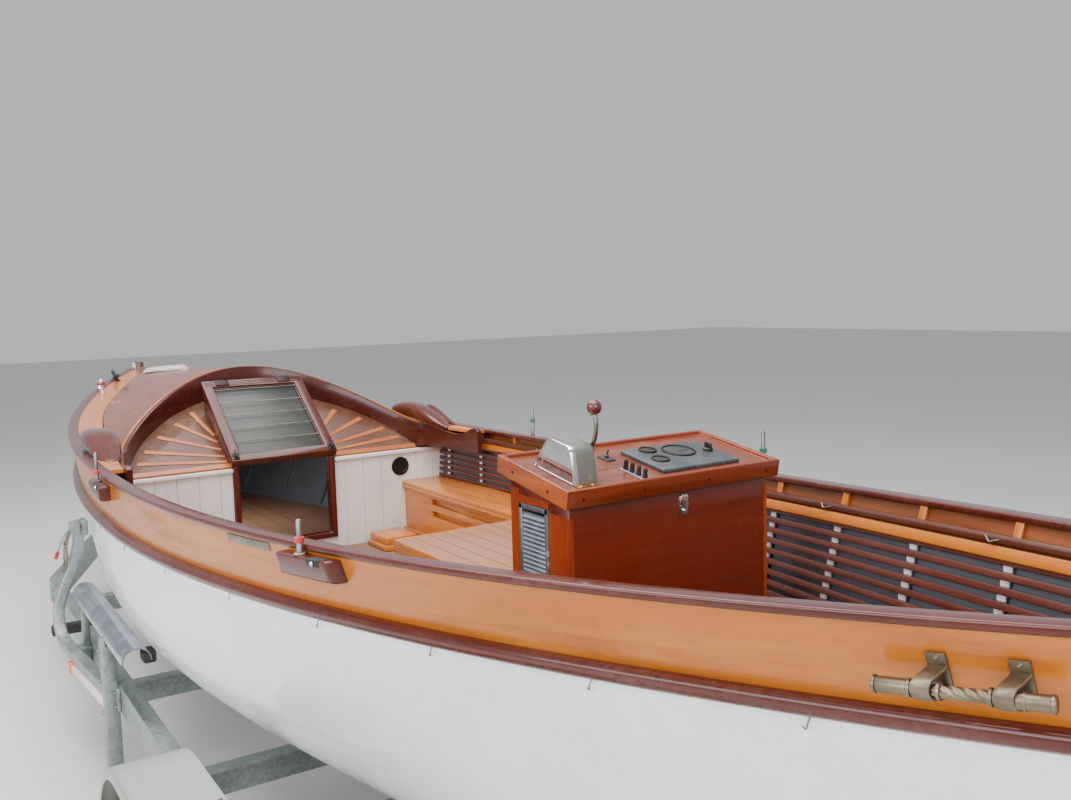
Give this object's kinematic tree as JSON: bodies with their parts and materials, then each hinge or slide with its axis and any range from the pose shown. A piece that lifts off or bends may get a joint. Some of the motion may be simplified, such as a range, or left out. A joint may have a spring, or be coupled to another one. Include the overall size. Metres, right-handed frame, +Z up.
{
  "type": "open lifeboat on a road trailer",
  "caption": "Open double-ended wooden lifeboat with a turtle-back foredeck, cabin front, steering console and inboard engine, parked on its road trailer.",
  "frame": {"origin": "on the floor below the middle of the boat and its trailer", "axes": "+X towards the bow and the coupling, +Y to port, +Z up"},
  "size_m": [9.76, 2.47, 1.7721],
  "materials": {
    "hull_white": "gloss, lightly soiled",
    "varnished_pine": "varnished",
    "mahogany": "varnished",
    "inlaid_teak": "satin varnish",
    "white_boards": "satin paint",
    "window_glass": "dusty",
    "engine_paint": "enamel",
    "grey_metal": "satin",
    "grey_plastic": "matte",
    "bright_chrome": "polished",
    "bronze": "satin",
    "galvanised_steel": "galvanised",
    "tyre_rubber": "worn",
    "black_rubber": "matte"
  },
  "bodies": {
    "root": {"planking_port": "hull_white", "top_strake_port": "varnished_pine", "rub_rail_port": "mahogany", "gunwale_cap_port": "mahogany", "fan_panel_port": "inlaid_teak", "side_bench_port": "varnished_pine", "chock_port": "mahogany", "rowlock_aft_port": "mahogany", "rowlock_forward_port": "mahogany", "bar_cleat_port": "galvanised_steel", "mudguard_port": "galvanised_steel", "side_support_port": "galvanised_steel", "planking_starboard": "hull_white", "top_strake_starboard": "varnished_pine", "rub_rail_starboard": "mahogany", "gunwale_cap_starboard": "mahogany", "fan_panel_starboard": "inlaid_teak", "side_bench_starboard": "varnished_pine", "chock_starboard": "mahogany", "rowlock_aft_starboard": "mahogany", "rowlock_forward_starboard": "mahogany", "bar_cleat_starboard": "galvanised_steel", "mudguard_starboard": "galvanised_steel", "side_support_starboard": "galvanised_steel", "keel": "hull_white", "stem": "hull_white", "foredeck": "varnished_pine", "arch_coaming": "mahogany", "bulkhead": "white_boards", "hatch_curb": "mahogany", "door_frame": "mahogany", "sole": "inlaid_teak", "engine_box": "inlaid_teak", "engine": "engine_paint", "console_body": "mahogany", "console_louvre": "grey_metal", "stern_deck": "varnished_pine", "trailer_frame": "galvanised_steel", "axle_rear": "galvanised_steel", "axle_front": "galvanised_steel", "winch_post": "galvanised_steel", "bow_stop": "black_rubber", "keel_roller_1": "black_rubber", "keel_roller_2": "black_rubber", "keel_roller_3": "black_rubber"},
    "wheel_rear_port": {"wheel_rear_port": "tyre_rubber"},
    "wheel_rear_starboard": {"wheel_rear_starboard": "tyre_rubber"},
    "wheel_front_port": {"wheel_front_port": "tyre_rubber"},
    "wheel_front_starboard": {"wheel_front_starboard": "tyre_rubber"},
    "jockey_fork": {"jockey_fork": "galvanised_steel"},
    "jockey_wheel": {"jockey_wheel": "black_rubber"},
    "propeller": {"propeller": "bronze"},
    "rudder": {"rudder": "mahogany", "tiller": "varnished_pine"},
    "hatch": {"hatch_frame": "mahogany", "hatch_glass": "window_glass"},
    "console_lid": {"console_lid": "varnished_pine", "instrument_panel": "grey_plastic", "control_unit": "bright_chrome", "control_lever": "bright_chrome"}
  },
  "joints": [
    {"name": "wheel_rear_port_spin", "type": "hinge", "parent": "root", "child": "wheel_rear_port", "pos_m": [-2.25, 1.115, 0.31], "axis": [0, 1, 0], "continuous": true},
    {"name": "wheel_rear_starboard_spin", "type": "hinge", "parent": "root", "child": "wheel_rear_starboard", "pos_m": [-2.25, -1.115, 0.31], "axis": [0, 1, 0], "continuous": true},
    {"name": "wheel_front_port_spin", "type": "hinge", "parent": "root", "child": "wheel_front_port", "pos_m": [-1.55, 1.115, 0.31], "axis": [0, 1, 0], "continuous": true},
    {"name": "wheel_front_starboard_spin", "type": "hinge", "parent": "root", "child": "wheel_front_starboard", "pos_m": [-1.55, -1.115, 0.31], "axis": [0, 1, 0], "continuous": true},
    {"name": "jockey_swivel", "type": "hinge", "parent": "root", "child": "jockey_fork", "pos_m": [4.48, 0.11, 0.28], "axis": [0, 0, 1], "continuous": true},
    {"name": "jockey_wheel_spin", "type": "hinge", "parent": "jockey_fork", "child": "jockey_wheel", "pos_m": [4.43, 0.11, 0.1], "axis": [0, 1, 0], "continuous": true},
    {"name": "propeller_spin", "type": "hinge", "parent": "root", "child": "propeller", "pos_m": [-4.3, 0, 0.69], "axis": [1, 0, 0], "continuous": true},
    {"name": "rudder_swing", "type": "hinge", "parent": "root", "child": "rudder", "pos_m": [-4.56, 0, 0.94], "axis": [0, 0, 1], "range_deg": [-35, 35]},
    {"name": "hatch_lift", "type": "hinge", "parent": "root", "child": "hatch", "pos_m": [0.9168, 0, 1.6289], "axis": [0, 1, 0], "range_deg": [0, 30]},
    {"name": "console_lid_lift", "type": "hinge", "parent": "root", "child": "console_lid", "pos_m": [-2.3132, 0, 1.5719], "axis": [0, 1, 0], "range_deg": [0, 75]}
  ]
}
